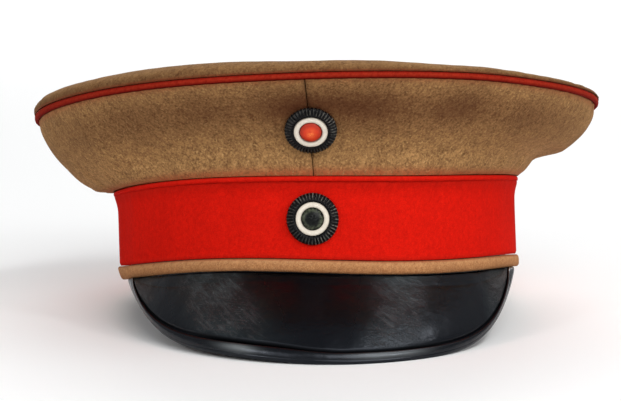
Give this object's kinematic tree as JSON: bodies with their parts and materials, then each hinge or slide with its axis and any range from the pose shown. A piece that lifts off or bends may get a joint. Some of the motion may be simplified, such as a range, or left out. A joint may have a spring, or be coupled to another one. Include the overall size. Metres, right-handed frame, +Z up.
{
  "type": "visor cap",
  "caption": "Officer's visor cap with a flared wool crown, a red band between welts, a lacquered visor and round cockades.",
  "frame": {"origin": "middle of the bounding box's base, on the surface that the cap rests on", "axes": "+Z up from the surface, -Y towards the front of the visor, +X to the right of someone who faces the visor"},
  "size_m": [0.2564, 0.2722, 0.1219],
  "materials": {
    "crown_cloth": "fulled wool with a short nap, matt",
    "piping_cloth": "fine red wool over cord, matt",
    "band_cloth": "fine red wool, matt",
    "welt_cloth": "light fawn wool, matt",
    "visor_lacquer": "worn black lacquer, glossy",
    "cockade_black": "satin black paint",
    "cockade_white": "aged white paint",
    "cockade_red": "satin red paint",
    "cockade_dark": "glossy black paint"
  },
  "bodies": {
    "root": {"crown_top": "crown_cloth", "crown_side_right": "crown_cloth", "crown_side_left": "crown_cloth", "crown_piping": "piping_cloth", "upper_welt": "band_cloth", "band": "band_cloth", "lower_welt": "welt_cloth", "visor": "visor_lacquer", "upper_cockade_rim": "cockade_black", "upper_cockade_ring": "cockade_white", "upper_cockade_centre": "cockade_red", "lower_cockade_rim": "cockade_black", "lower_cockade_ring": "cockade_white", "lower_cockade_centre": "cockade_dark"}
  },
  "joints": []
}
